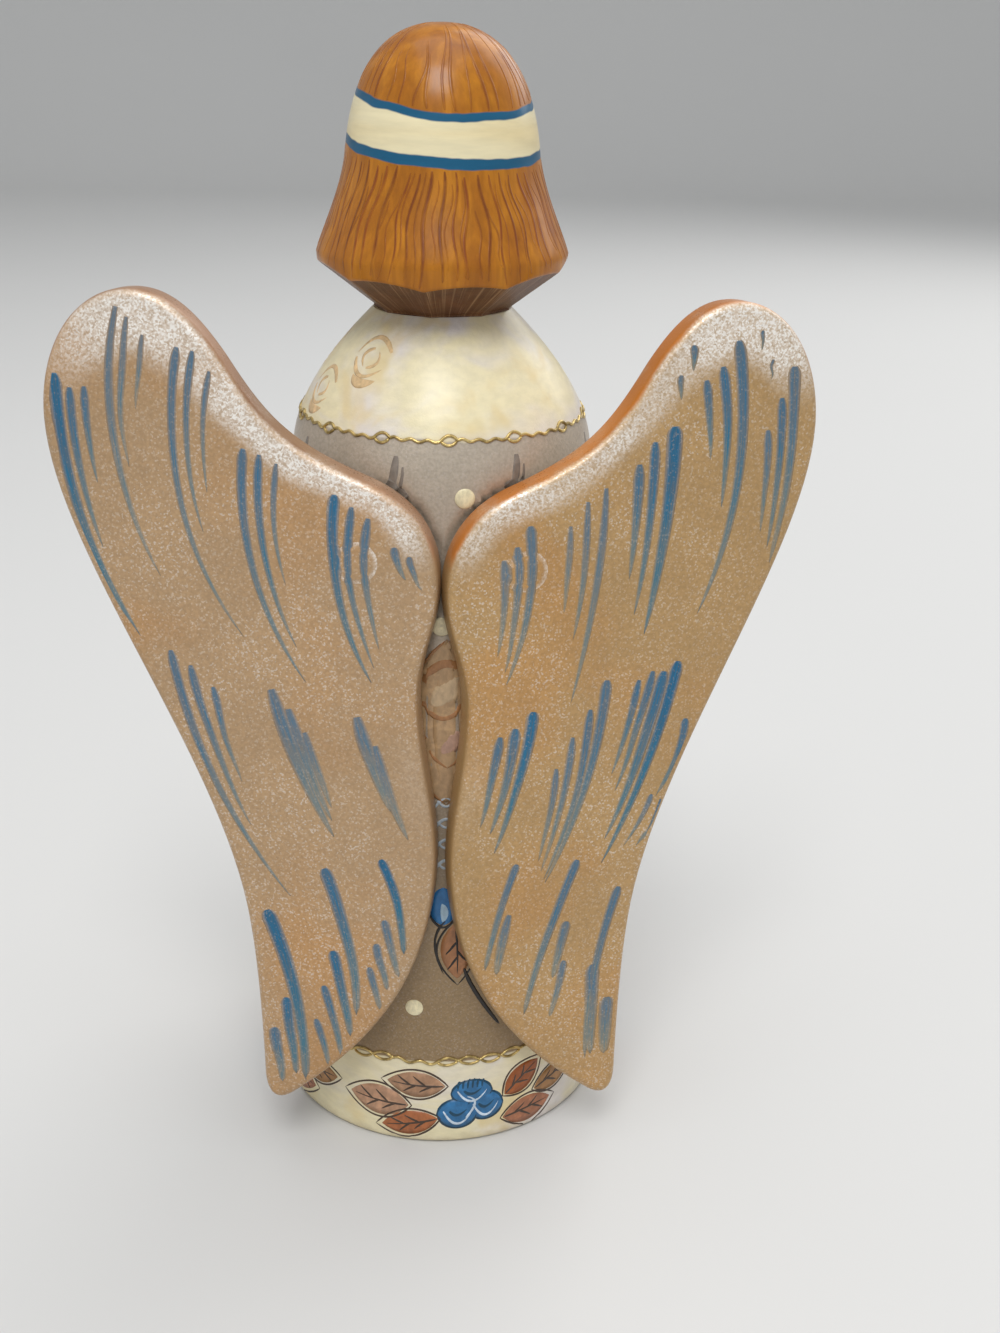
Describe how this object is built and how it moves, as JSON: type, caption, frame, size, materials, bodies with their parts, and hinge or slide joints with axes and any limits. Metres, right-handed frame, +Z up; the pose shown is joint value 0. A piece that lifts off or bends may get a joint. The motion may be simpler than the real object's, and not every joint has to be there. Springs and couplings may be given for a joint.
{
  "type": "wooden angel figurine",
  "caption": "Standing wooden angel figurine: turned tapering dress body, carved head with bobbed hair, and long flat wings dowelled to the back.",
  "frame": {"origin": "centre of the round base, on the surface that the figurine stands on", "axes": "+Z up along the turning axis of the dress; the figure looks along -Y, its wings are on the +Y side, and its left wing, seen from behind, is on +X"},
  "size_m": [0.1086, 0.0603, 0.17],
  "materials": {
    "dress_paint": "limewood, painted pearl taupe with cream shoulders and hem, varnished",
    "hair_paint": "limewood, stained golden ochre with brown strands, varnished",
    "wing_paint": "limewood, painted pearl gold with glitter and blue feather strokes, varnished",
    "bare_wood": "beech dowel, bare"
  },
  "bodies": {
    "root": {"dress_body": "dress_paint", "head": "hair_paint", "neck_dowel": "bare_wood", "left_wing": "wing_paint", "right_wing": "wing_paint", "left_wing_dowel": "bare_wood", "right_wing_dowel": "bare_wood"}
  },
  "joints": []
}
